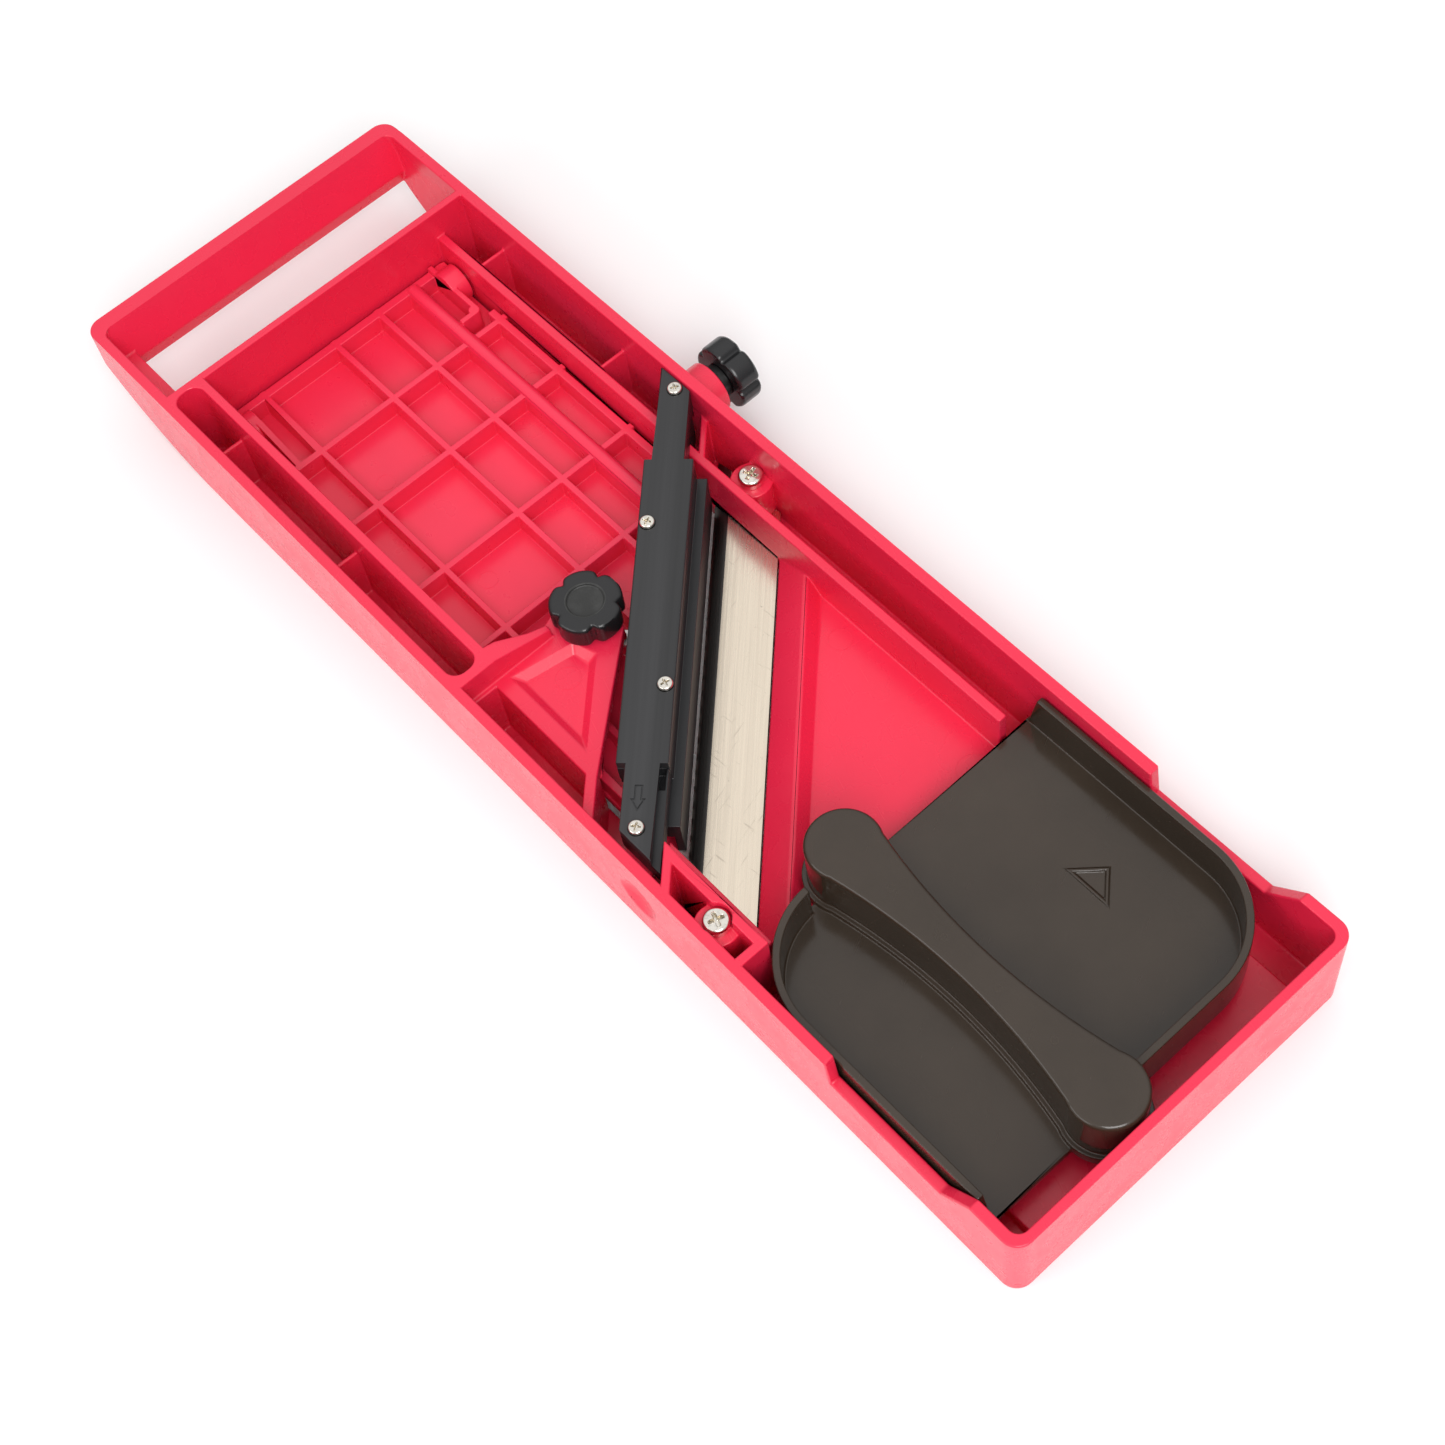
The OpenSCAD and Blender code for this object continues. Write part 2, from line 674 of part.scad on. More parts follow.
// Waisted grip outline: two round ends joined by long concave flanks
module grip_outline(inset) {
  mid = (grip_x0 + grip_x1) / 2;
  half = (grip_x1 - grip_x0) / 2;
  r = grip_end_r - inset;
  rise = grip_end_r - grip_waist;
  flank_r = (half * half + rise * rise) / (2 * rise) + inset;
  for (x = [grip_x0, grip_x1]) translate([x, grip_y]) circle(r = r);
  difference() {
    rect(grip_x0, grip_y - r, grip_x1, grip_y + r);
    for (s = [-1, 1]) translate([mid, grip_y + s * (grip_waist + flank_r - inset)])
      circle(r = flank_r, $fn = 240);
  }
}
module pin_points() {
  for (i = [-1.5:1:1.5]) translate([(grip_x0 + grip_x1) / 2 + i * 15, grip_y, 0]) children();
}
// What is cut off a lip's end near one square corner, from y0 over 11 mm
module lip_end(x, side, y0) {
  translate([x, y0 + 11, 0]) mirror([side < 0 ? 1 : 0, 0, 0]) rotate([90, 0, 0]) linear_extrude(11)
    polygon([[-1, guard_top], [0.2, guard_top], [2.8, lip_top + 1], [-1, lip_top + 1]]);
}
module hand_guard() {
  color(smoke) place() difference() {
    union() {
      slab(guard_z, guard_top) guard_outline(0);
      // Raised lip round the two curved corners, sloped at the ends near the square corners
      difference() {
        slab(guard_top - 1, lip_top) difference() { guard_outline(0); guard_outline(lip_t); }
        slab(0, far) {
          rect(guard_x0 - 1, -22, guard_x0 + 10, guard_y - lip_t);
          rect(guard_x1 - 10, -guard_y + lip_t, guard_x1 + 1, -2);
        }
        lip_end(guard_x0, 1, guard_y - 10);
        lip_end(guard_x1, -1, -guard_y - 1);
      }
      slab(guard_z, guard_top + grip_h) grip_outline(0);
      // Low flange round the grip's foot
      slab(guard_z, guard_top + 1) intersection() {
        grip_outline(-grip_flange);
        rect(-far, -far, in_x - 0.5, far);
      }
      // Two runners that it stands on
      for (s = [0, 1]) mirror([0, s, 0]) span([84, runner_y, runner_z], [134, runner_y + 1.5, guard_z + 1]);
      // Raised triangle moulded on the plate
      slab(guard_top - 0.5, guard_top + 0.4) difference() {
        polygon([[102.6, 21.4], [114.8, 21.4], [108.7, 28.2]]);
        polygon([[104.4, 22.2], [113, 22.2], [108.7, 27]]);
      }
    }
    // Hollow grip, open to the food side
    slab(guard_z - 1, grip_roof) grip_outline(grip_wall);
    pin_points() post(guard_pin_r, guard_top, grip_roof + 1);
  }
}
module guard_pins() {
  color(steel) place() pin_points() {
    post(guard_pin_r, guard_pin_tip + 3, grip_roof + 1);
    translate([0, 0, guard_pin_tip]) cylinder(r1 = 0.1, r2 = guard_pin_r, h = 3 + eps);
  }
}

body_frame();
infeed_plate();
hinge_pins();
main_blade();
blade_screws();
blade_inserts();
comb_holder();
comb_cover();
comb_blade();
comb_screws();
height_knob();
height_stud();
height_bush();
height_clip();
clip_screws();
thrust_washer();
lock_knob();
lock_stud();
lock_bush();
lock_pad();
hand_guard();
guard_pins();
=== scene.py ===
"""Looks of a mandoline slicer that lies underside up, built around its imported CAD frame.

Every Blender length is in metres. mm() turns the millimetres used here into metres.
"""
from math import cos, exp, pi, radians, sin

import bmesh
import bpy
from mathutils import Matrix, Vector
from mathutils.bvhtree import BVHTree


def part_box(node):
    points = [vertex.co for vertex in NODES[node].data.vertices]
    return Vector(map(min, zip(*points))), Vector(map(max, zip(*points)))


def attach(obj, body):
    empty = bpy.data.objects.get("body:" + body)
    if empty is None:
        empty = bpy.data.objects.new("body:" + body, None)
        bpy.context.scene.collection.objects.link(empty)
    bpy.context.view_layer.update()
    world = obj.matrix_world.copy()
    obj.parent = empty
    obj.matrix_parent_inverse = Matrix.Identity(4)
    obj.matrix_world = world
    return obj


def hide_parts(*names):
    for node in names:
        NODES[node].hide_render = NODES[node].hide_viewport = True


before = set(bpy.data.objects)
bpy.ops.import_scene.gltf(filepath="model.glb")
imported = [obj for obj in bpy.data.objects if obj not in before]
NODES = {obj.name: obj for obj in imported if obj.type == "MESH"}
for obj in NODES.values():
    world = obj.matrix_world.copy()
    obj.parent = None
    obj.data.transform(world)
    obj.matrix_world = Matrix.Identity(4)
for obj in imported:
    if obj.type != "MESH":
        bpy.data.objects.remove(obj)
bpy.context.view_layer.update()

SCENE = bpy.context.scene


def mm(*values):
    """One length, or several as a vector, from millimetres to metres."""
    if len(values) == 1:
        return values[0] * 0.001
    return Vector(values) * 0.001


# The middle of the body's walls: the lock knob's side makes the whole box wider than the body
WALL_MID_Y = mm(-7.4)


# ---- Shader helpers ----
def new_material(name):
    """A node material with only a Principled shader in it."""
    material = bpy.data.materials.new(name)
    material.use_nodes = True
    tree = material.node_tree
    return material, tree, tree.nodes["Principled BSDF"]


def coords(tree, scale=(1, 1, 1), turn=(0, 0, 0)):
    """Object coordinates in metres, turned and then stretched."""
    source = tree.nodes.new("ShaderNodeTexCoord")
    turned = tree.nodes.new("ShaderNodeMapping")
    turned.inputs["Rotation"].default_value = turn
    stretched = tree.nodes.new("ShaderNodeMapping")
    stretched.inputs["Scale"].default_value = scale
    tree.links.new(source.outputs["Object"], turned.inputs["Vector"])
    tree.links.new(turned.outputs["Vector"], stretched.inputs["Vector"])
    return stretched.outputs["Vector"]


def noise_of(tree, scale, detail=3.0, rough=0.5, vector=None):
    node = tree.nodes.new("ShaderNodeTexNoise")
    node.inputs["Scale"].default_value = scale
    node.inputs["Detail"].default_value = detail
    node.inputs["Roughness"].default_value = rough
    tree.links.new(vector or coords(tree), node.inputs["Vector"])
    return node.outputs["Fac"]


def spread(tree, value, low, high, from_low=0.3, from_high=0.7):
    """Maps a noise value to a range."""
    node = tree.nodes.new("ShaderNodeMapRange")
    node.inputs["From Min"].default_value = from_low
    node.inputs["From Max"].default_value = from_high
    node.inputs["To Min"].default_value = low
    node.inputs["To Max"].default_value = high
    tree.links.new(value, node.inputs["Value"])
    return node.outputs["Result"]


def math_node(tree, operation, a, b):
    node = tree.nodes.new("ShaderNodeMath")
    node.operation = operation
    node.use_clamp = operation == "ADD"
    for socket, value in zip(node.inputs, (a, b)):
        if isinstance(value, (int, float)):
            socket.default_value = value
        else:
            tree.links.new(value, socket)
    return node.outputs["Value"]


def mix_colours(tree, factor, a, b):
    node = tree.nodes.new("ShaderNodeMix")
    node.data_type = "RGBA"
    tree.links.new(factor, node.inputs["Factor"])
    for socket, colour in ((node.inputs[6], a), (node.inputs[7], b)):
        if isinstance(colour, tuple):
            socket.default_value = (*colour, 1.0)
        else:
            tree.links.new(colour, socket)
    return node.outputs[2]


def bump(tree, shader, heights):
    """Chains (height socket, strength, depth in metres) bumps into the shader's normal."""
    normal = None
    for height, strength, depth in heights:
        node = tree.nodes.new("ShaderNodeBump")
        node.inputs["Strength"].default_value = strength
        node.inputs["Distance"].default_value = depth
        tree.links.new(height, node.inputs["Height"])
        if normal:
            tree.links.new(normal, node.inputs["Normal"])
        normal = node.outputs["Normal"]
    tree.links.new(normal, shader.inputs["Normal"])


def scratches(tree, turn, fineness, length):
    """Thin long marks along one direction: 0 almost everywhere and up to 1 in a mark."""
    field = noise_of(tree, 1.0, 2.0, 0.6, coords(tree, (length, fineness, fineness), turn))
    return spread(tree, field, 0.0, 1.0, 0.66, 0.74)


# ---- Materials ----
def moulded_plastic(name, colour, deep, roughness):
    """Glossy moulded plastic with a faint orange-peel skin, flow marks and handling scratches."""
    material, tree, shader = new_material(name)
    flow = noise_of(tree, 24.0, 4.0, 0.55)
    tone = mix_colours(tree, spread(tree, flow, 0.0, 1.0), colour, deep)
    tree.links.new(tone, shader.inputs["Base Color"])
    skin = noise_of(tree, 900.0, 3.0)
    marks = scratches(tree, (0, 0, 0.3), 2600.0, 60.0)
    patchy = spread(tree, noise_of(tree, 140.0), roughness * 0.88, roughness * 1.15)
    tree.links.new(math_node(tree, "ADD", patchy, math_node(tree, "MULTIPLY", marks, 0.12)),
                   shader.inputs["Roughness"])
    shader.inputs["IOR"].default_value = 1.5
    wave = noise_of(tree, 120.0, 2.0)
    bump(tree, shader,
         [(wave, 0.12, mm(0.06)), (skin, 0.12, mm(0.02)), (marks, 0.1, mm(0.01))])
    return material


def textured_plastic(name, colour, roughness, grain_scale, grain_depth):
    """Spark-eroded matt plastic: a fine pebbled grain with slight wear."""
    material, tree, shader = new_material(name)
    wear = spread(tree, noise_of(tree, 160.0, 5.0, 0.65), 0.0, 1.0, 0.45, 0.8)
    worn = tuple(min(1.0, c * 2.0 + 0.01) for c in colour)
    tree.links.new(mix_colours(tree, wear, colour, worn), shader.inputs["Base Color"])
    grain = noise_of(tree, grain_scale, 4.0, 0.7)
    tree.links.new(spread(tree, grain, roughness * 0.8, roughness * 1.25), shader.inputs["Roughness"])
    bump(tree, shader, [(grain, 0.7, grain_depth)])
    return material


def satin_plastic(name, colour, turn):
    """Black plastic with long soft polishing streaks."""
    material, tree, shader = new_material(name)
    streak = noise_of(tree, 1.0, 3.0, 0.5, coords(tree, (6.0, 420.0, 60.0), turn))
    lighter = tuple(c * 1.7 + 0.004 for c in colour)
    tree.links.new(mix_colours(tree, spread(tree, streak, 0.0, 1.0), colour, lighter),
                   shader.inputs["Base Color"])
    fine = scratches(tree, turn, 3000.0, 50.0)
    soft = spread(tree, streak, 0.3, 0.44)
    tree.links.new(math_node(tree, "ADD", soft, math_node(tree, "MULTIPLY", fine, 0.15)),
                   shader.inputs["Roughness"])
    skin = noise_of(tree, 1500.0, 2.0)
    bump(tree, shader, [(skin, 0.25, mm(0.01)), (fine, 0.15, mm(0.01))])
    return material


def smoke_plastic(name):
    """Dark smoke-brown clear plastic with flow marks and a few fine scratches."""
    material, tree, shader = new_material(name)
    flow = spread(tree, noise_of(tree, 40.0, 4.0, 0.6), 0.0, 1.0)
    tone = mix_colours(tree, flow, (0.046, 0.031, 0.020), (0.062, 0.043, 0.029))
    tree.links.new(tone, shader.inputs["Base Color"])
    shader.inputs["Transmission Weight"].default_value = 0.35
    shader.inputs["IOR"].default_value = 1.5
    fine = scratches(tree, (0, 0, 1.1), 2200.0, 70.0)
    gloss = spread(tree, noise_of(tree, 300.0), 0.13, 0.19)
    tree.links.new(math_node(tree, "ADD", gloss, math_node(tree, "MULTIPLY", fine, 0.12)),
                   shader.inputs["Roughness"])
    bump(tree, shader, [(noise_of(tree, 110.0, 2.0), 0.15, mm(0.05)), (fine, 0.12, mm(0.01))])
    return material


def ground_steel(name, colour, turn, roughness, scratch):
    """Steel ground along one direction, with crossing fine scratches and small dark specks."""
    material, tree, shader = new_material(name)
    shader.inputs["Metallic"].default_value = 1.0
    lines = noise_of(tree, 1.0, 4.0, 0.7, coords(tree, (30.0, 3600.0, 3600.0), turn))
    cross = scratches(tree, (turn[0], turn[1], turn[2] + 0.5), 1800.0, 90.0)
    other = scratches(tree, (turn[0], turn[1], turn[2] - 0.9), 1500.0, 120.0)
    speck = spread(tree, noise_of(tree, 700.0, 3.0, 0.6), 0.0, 1.0, 0.7, 0.78)
    dull = tuple(c * 0.82 for c in colour)
    dark = tuple(c * 0.45 for c in colour)
    tone = mix_colours(tree, spread(tree, lines, 0.0, 0.6), colour, dull)
    tone = mix_colours(tree, math_node(tree, "MULTIPLY", speck, 0.7), tone, dark)
    marks = math_node(tree, "ADD", cross, other)
    tone = mix_colours(tree, math_node(tree, "MULTIPLY", marks, 0.35), tone, dark)
    tree.links.new(tone, shader.inputs["Base Color"])
    rough = spread(tree, lines, roughness * 0.8, roughness * 1.25)
    tree.links.new(math_node(tree, "ADD", rough, math_node(tree, "MULTIPLY", marks, 0.1)),
                   shader.inputs["Roughness"])
    bump(tree, shader, [(lines, scratch, mm(0.006)), (marks, scratch, mm(0.006))])
    return material


def plated_metal(name, colour, roughness):
    """Bright plated or turned metal with slight tarnish and handling marks."""
    material, tree, shader = new_material(name)
    shader.inputs["Metallic"].default_value = 1.0
    tarnish = spread(tree, noise_of(tree, 900.0, 4.0, 0.6), 0.0, 1.0, 0.45, 0.75)
    dull = tuple(c * 0.7 for c in colour)
    tree.links.new(mix_colours(tree, tarnish, colour, dull), shader.inputs["Base Color"])
    tree.links.new(spread(tree, tarnish, roughness, roughness * 1.9, 0.0, 1.0), shader.inputs["Roughness"])
    bump(tree, shader, [(noise_of(tree, 2600.0, 3.0), 0.15, mm(0.01))])
    return material


DIAGONAL = (0, 0, radians(45))
MATERIALS = {
    "body_plastic": moulded_plastic("body_plastic", (0.80, 0.020, 0.066), (0.75, 0.017, 0.058), 0.27),
    "plate_plastic": moulded_plastic("plate_plastic", (0.82, 0.026, 0.076), (0.77, 0.022, 0.067), 0.3),
    "holder_plastic": satin_plastic("holder_plastic", (0.008, 0.008, 0.009), DIAGONAL),
    "cover_plastic": satin_plastic("cover_plastic", (0.016, 0.016, 0.017), DIAGONAL),
    "knob_plastic": moulded_plastic("knob_plastic", (0.012, 0.012, 0.013), (0.009, 0.009, 0.010), 0.22),
    "knob_crown": textured_plastic("knob_crown", (0.020, 0.020, 0.019), 0.42, 2300.0, mm(0.12)),
    "guard_plastic": smoke_plastic("guard_plastic"),
    # The blade's warm beige tint is a painted reflection: the blade itself is plain silver steel
    "blade_steel": ground_steel("blade_steel", (0.87, 0.76, 0.62), DIAGONAL, 0.26, 0.4),
    # Much darker steel for the bevel: a painted dark reflection, not a different metal
    "blade_bevel_dark_reflection": ground_steel("blade_bevel_dark_reflection", (0.11, 0.105, 0.10), DIAGONAL, 0.3, 0.5),
    "comb_steel": ground_steel("comb_steel", (0.72, 0.70, 0.67), DIAGONAL, 0.3, 0.4),
    "screw_steel": plated_metal("screw_steel", (0.80, 0.76, 0.69), 0.1),
    "stud_steel": plated_metal("stud_steel", (0.62, 0.61, 0.60), 0.3),
    "stud_black": plated_metal("stud_black", (0.05, 0.05, 0.05), 0.35),
    "clip_steel": ground_steel("clip_steel", (0.66, 0.65, 0.63), (0, 0, 0), 0.35, 0.3),
    "pin_steel": plated_metal("pin_steel", (0.66, 0.66, 0.65), 0.25),
    "insert_brass": plated_metal("insert_brass", (0.78, 0.60, 0.30), 0.25),
}


# ---- Mesh helpers ----
SMOOTH_LIMIT = radians(32)    # steeper edges are shaded sharp
FLAT_LIMIT = radians(0.6)     # faces that turn less than this are joined
CORNER_LIMIT = radians(25)    # edges that turn more than this are rounded
WELD = mm(0.004)
SMALLEST_EDGE = mm(0.003)
EDGE_STEPS, RIM_STEPS = 3, 5
ROUNDING_PASSES = 4
# As shares of a radius: how far a rounded corner may lie off the CAD surface, the same for a rim, and how
# near to a stray corner an edge is left sharp
STRAY_SHARE, RIM_STRAY_SHARE, FOLD_SHARE = 0.75, 0.6, 1.5


def finish_piece(piece, body, slot, nodes, materials=None):
    """Materials (the slot's own when no list is given), shading, body and the CAD nodes that the piece
    stands for.
    """
    for name in materials or [slot]:
        piece.data.materials.append(MATERIALS[name])
    piece.data.set_sharp_from_angle(angle=SMOOTH_LIMIT)
    weights = piece.modifiers.new("even_normals", "WEIGHTED_NORMAL")
    weights.keep_sharp = True
    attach(piece, body)
    if nodes:
        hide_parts(*nodes)


def object_from(name, mesh_builder):
    """A new scene object from a bmesh, with smooth faces."""
    mesh = bpy.data.meshes.new(name)
    for face in mesh_builder.faces:
        face.smooth = True
    mesh_builder.to_mesh(mesh)
    mesh_builder.free()
    piece = bpy.data.objects.new(name, mesh)
    SCENE.collection.objects.link(piece)
    return piece


def sharp_edges(mesh_builder):
    return [e for e in mesh_builder.edges if e.is_manifold and e.calc_face_angle(0) > CORNER_LIMIT]


def joined_flat(node):
    """A CAD node's mesh with its flat faces joined up again."""
    mesh_builder = bmesh.new()
    mesh_builder.from_mesh(NODES[node].data)
    bmesh.ops.remove_doubles(mesh_builder, verts=mesh_builder.verts, dist=WELD)
    bmesh.ops.dissolve_limit(mesh_builder, angle_limit=FLAT_LIMIT, verts=mesh_builder.verts,
                             edges=mesh_builder.edges)
    return mesh_builder


def round_edges(mesh_builder, edges, radius, steps):
    if edges:
        bmesh.ops.bevel(mesh_builder, geom=edges, offset=radius, offset_type="OFFSET", segments=steps,
                        profile=0.5, affect="EDGES", clamp_overlap=False, loop_slide=True)


class CadSurface:
    """Nearest places on a CAD node's surface."""

    def __init__(self, node):
        mesh_builder = bmesh.new()
        mesh_builder.from_mesh(NODES[node].data)
        self.tree = BVHTree.FromBMesh(mesh_builder)
        mesh_builder.free()
        self.low, self.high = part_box(node)

    def strays(self, mesh_builder, reach):
        """Surface places next to corners that a bevel threw further than reach."""
        found = []
        for vertex in mesh_builder.verts:
            nearest, _, _, distance = self.tree.find_nearest(vertex.co)
            if distance > reach:
                found.append(nearest)
        return found

    def pull_in(self, mesh_builder, reach):
        """Puts stray corners back on the surface and keeps everything inside the node's box."""
        for vertex in mesh_builder.verts:
            nearest, _, _, distance = self.tree.find_nearest(vertex.co)
            if distance > reach:
                vertex.co = nearest
            vertex.co = kept_inside(vertex.co, self.low, self.high)


def skin_rows(mesh_builder, rows):
    """Faces between each row of corners and the next, returned as one band for each pair."""
    steps = len(rows[0])
    bands = []
    for lower, upper in zip(rows, rows[1:]):
        band = []
        for step in range(steps):
            after = (step + 1) % steps
            band.append(mesh_builder.faces.new((lower[step], lower[after], upper[after], upper[step])))
        bands.append(band)
    return bands


def turned_row(mesh_builder, box, upright, radii, height):
    """One ring of corners around a node's axis, upright or along Y, with a radius for each corner.

    Heights and radii are in millimetres, from the node's lowest or foremost end.
    """
    low, high = box
    middle = (low + high) / 2
    row = []
    for step, radius in enumerate(radii):
        turn = 2 * pi * step / len(radii)
        across, along = radius * cos(turn), radius * sin(turn)
        if upright:
            place = Vector((middle.x, middle.y, low.z)) + mm(across, along, height)
        else:
            place = Vector((middle.x, low.y, middle.z)) + mm(across, height, -along)
        row.append(mesh_builder.verts.new(place))
    return row


def ramp(value):
    """A value held between 0 and 1."""
    return min(max(value, 0.0), 1.0)


def kept_inside(place, low, high):
    """The nearest place within a box."""
    return Vector([min(max(place[i], low[i]), high[i]) for i in range(3)])


def tidy_faces(mesh_builder):
    """Drops edges and faces without size and turns every face outwards."""
    bmesh.ops.dissolve_degenerate(mesh_builder, edges=mesh_builder.edges, dist=SMALLEST_EDGE)
    bmesh.ops.recalc_face_normals(mesh_builder, faces=mesh_builder.faces)


def near_any(edge, places, reach):
    """Whether an edge passes within reach of one of the places."""
    start, end = edge.verts[0].co, edge.verts[1].co
    along = end - start
    length = max(along.length_squared, 1e-12)
    for place in places:
        share = ramp((place - start).dot(along) / length)
        if (start + along * share - place).length < reach:
            return True
    return False


def rounded_copy(node, name, radius, rim=None, keep=None):
    """A CAD node's shape with moulded edges.

    rim is (chooses an edge, radius) for the widest rounding, and keep chooses the edges left sharp.
    Edges whose rounding would fold over are left sharp too: each pass leaves out those beside a stray.
    """
    surface = CadSurface(node)
    folded = []
    rim_reach = rim[1] * RIM_STRAY_SHARE if rim else 0.0
    reach = max(radius * STRAY_SHARE, rim_reach)
    for attempt in range(ROUNDING_PASSES):
        mesh_builder = joined_flat(node)
        if rim:
            chosen = [e for e in sharp_edges(mesh_builder) if rim[0](e)]
            round_edges(mesh_builder, chosen, rim[1], RIM_STEPS)
            surface.pull_in(mesh_builder, rim_reach)
            tidy_faces(mesh_builder)
        edges = [e for e in sharp_edges(mesh_builder)
                 if not (keep and keep(e)) and not near_any(e, folded, radius * FOLD_SHARE)]
        round_edges(mesh_builder, edges, radius, EDGE_STEPS)
        strays = surface.strays(mesh_builder, reach)
        if not strays or attempt == ROUNDING_PASSES - 1:
            break
        folded += strays
        mesh_builder.free()
    surface.pull_in(mesh_builder, reach)
    tidy_faces(mesh_builder)
    return object_from(name, mesh_builder)


# ---- Body ----
RING_STEPS = 48


def add_ring(mesh_builder, centre, inner, outer, height):
    """A low round-topped ring, the mark an ejector pin leaves, closed underneath."""
    sunk, shoulder, shoulder_in = -0.1, height * 0.8, 0.03
    profile = [(inner, sunk), (inner + shoulder_in, shoulder), ((inner + outer) / 2, height),
               (outer - shoulder_in, shoulder), (outer, sunk)]
    rings = []
    for step in range(RING_STEPS):
        turn = 2 * pi * step / RING_STEPS
        rings.append([mesh_builder.verts.new(centre + mm(r * cos(turn), r * sin(turn), z))
                      for r, z in profile])
    for index, ring in enumerate(rings):
        after = rings[(index + 1) % RING_STEPS]
        for k in range(len(profile)):
            n = (k + 1) % len(profile)
            mesh_builder.faces.new((ring[k], after[k], after[n], ring[n]))


def body_point(x, y, z):
    """A place given from the middle of the body's walls, in millimetres."""
    return mm(x, y, z) + Vector((0, WALL_MID_Y, 0))


# Ejector pin marks: place in millimetres, inner and outer radius
DECK_MARKS = [((26.8, 29.0, 5.6), 2.65, 2.85), ((71.0, 26.7, 5.6), 3.9, 4.1),
              ((-2.2, -23.4, 16.9), 2.8, 3.0)]
PLATE_MARKS = [((-81.4, -16.5, 5.4), 2.2, 2.4), ((-42.3, -16.5, 5.4), 2.2, 2.4),
               ((-79.5, 27.3, 5.4), 2.2, 2.4), ((-15.5, 2.2, 5.4), 2.2, 2.4)]
MARK_HEIGHT = 0.06


def make_marks(name, marks, body, slot):
    mesh_builder = bmesh.new()
    for place, inner, outer in marks:
        add_ring(mesh_builder, body_point(*place), inner, outer, MARK_HEIGHT)
    bmesh.ops.recalc_face_normals(mesh_builder, faces=mesh_builder.faces)
    finish_piece(object_from(name, mesh_builder), body, slot, [])


def make_body():
    piece = rounded_copy("body_frame", "body_shell", mm(0.45))
    finish_piece(piece, "frame", "body_plastic", ["body_frame"])
    make_marks("body_ejector_marks", DECK_MARKS, "frame", "body_plastic")
    make_marks("plate_ejector_marks", PLATE_MARKS, "plate", "plate_plastic")


# ---- Knobs ----
KNOB_R = 8.3
LOBES = 5
NOTCH_DEPTH = 1.15
NOTCH_WIDTH = 0.2      # as a share of half a lobe's span
SWELL = 0.1            # half of how far a lobe's middle stands out beyond its ends
KNOB_STEPS = 180


def knob_radius(turn, first_lobe):
    """Five wide round lobes parted by small hollow notches, in millimetres."""
    span = 2 * pi / LOBES
    away = (turn - first_lobe + span / 2) % span
    away = min(away, span - away) / (span / 2)
    notch = exp(-(away / NOTCH_WIDTH) ** 2)
    swell = SWELL * (1 - cos(pi * away)) - 2 * SWELL
    return KNOB_R - NOTCH_DEPTH * notch + swell


# From the seat over the side and the crown to the middle, in millimetres: (1, inset from the lobes, height)
# for a lobed row, and (0, radius, height) for a round one
KNOB_PROFILE = [(1, 1.0, 0.0), (1, 0.35, 0.12), (1, 0.06, 0.5), (1, 0.0, 1.1), (1, 0.0, 4.9),
                (1, 0.1, 5.45), (1, 0.4, 5.85), (1, 0.85, 6.08), (1, 1.35, 6.17), (0, 4.55, 6.2),
                (0, 4.3, 6.17), (0, 4.15, 6.02), (0, 4.1, 5.7), (0, 3.9, 5.52), (0, 3.0, 5.38),
                (0, 2.0, 5.28), (0, 1.0, 5.22)]
CROWN_FROM = 9         # the first band of faces with the crown's grain


def make_knob(name, node, body, first_lobe, upright):
    """A lobed knob with a glossy side, a flat ring and a crisp grained dish."""
    mesh_builder = bmesh.new()
    low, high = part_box(node)
    rows = []
    for lobed, inset, height in KNOB_PROFILE:
        radii = [knob_radius(2 * pi * step / KNOB_STEPS, first_lobe) - inset if lobed else inset
                 for step in range(KNOB_STEPS)]
        rows.append(turned_row(mesh_builder, (low, high), upright, radii, height))
    for band in skin_rows(mesh_builder, rows)[CROWN_FROM:]:
        for face in band:
            face.material_index = 1
    mesh_builder.faces.new(rows[-1]).material_index = 1
    mesh_builder.faces.new(rows[0][::-1])
    bmesh.ops.recalc_face_normals(mesh_builder, faces=mesh_builder.faces)
    for vertex in mesh_builder.verts:
        vertex.co = kept_inside(vertex.co, low, high)
    finish_piece(object_from(name, mesh_builder), body, "knob_plastic", [node],
                 ["knob_plastic", "knob_crown"])


def make_knobs():
    make_knob("height_knob_lobed", "height_knob", "height_turn", radians(8), True)
    make_knob("lock_knob_lobed", "lock_knob", "lock_turn", radians(30), False)


# ---- Hand guard ----
GRIP_TOP_FROM = mm(24.5)


def on_grip_top(edge):
    """The outer edge round the top of the grip."""
    return min(v.co.z for v in edge.verts) > GRIP_TOP_FROM


def make_guard():
    piece = rounded_copy("hand_guard", "hand_guard_shell", mm(0.35), rim=(on_grip_top, mm(1.1)))
    finish_piece(piece, "guard", "guard_plastic", ["hand_guard"])


# ---- Comb cover ----
ARROW_DEPTH = mm(0.45)
ARROW_EDGE = mm(3.6)   # longer than every edge of the arrow


def make_cover():
    """The cover strip, with its small sunk arrow left crisp."""
    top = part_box("comb_cover")[1].z

    def in_small_detail(edge):
        on_top = all(v.co.z > top - ARROW_DEPTH for v in edge.verts)
        return on_top and edge.calc_length() < ARROW_EDGE

    piece = rounded_copy("comb_cover", "comb_cover_strip", mm(0.25), keep=in_small_detail)
    finish_piece(piece, "comb", "cover_plastic", ["comb_cover"])


